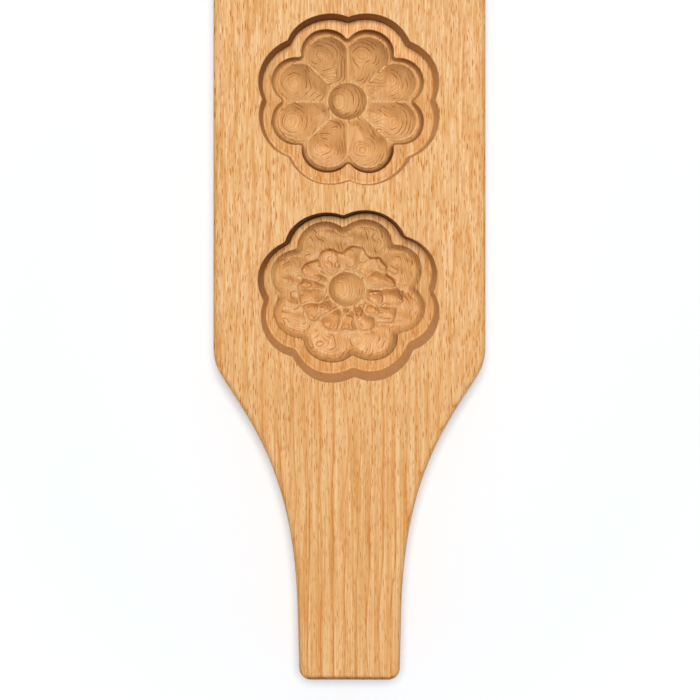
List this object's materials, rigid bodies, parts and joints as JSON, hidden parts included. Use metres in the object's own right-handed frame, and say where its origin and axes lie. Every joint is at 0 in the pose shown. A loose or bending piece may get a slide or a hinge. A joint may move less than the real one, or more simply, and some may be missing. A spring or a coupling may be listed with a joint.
{
  "type": "wooden mooncake mold",
  "caption": "Beech board with flower-shaped cavities carved into its face, shoulders and a short tapered handle, for pressing filled pastry cakes.",
  "frame": {"origin": "under the middle of the board's length and width, on its flat back", "axes": "+Y along the board towards the head, +X across it, +Z out of the carved face"},
  "size_m": [0.075, 0.196, 0.028],
  "materials": {
    "beech": "planed and lightly oiled beech, satin"
  },
  "bodies": {
    "root": {"mold_board": "beech"}
  },
  "joints": []
}
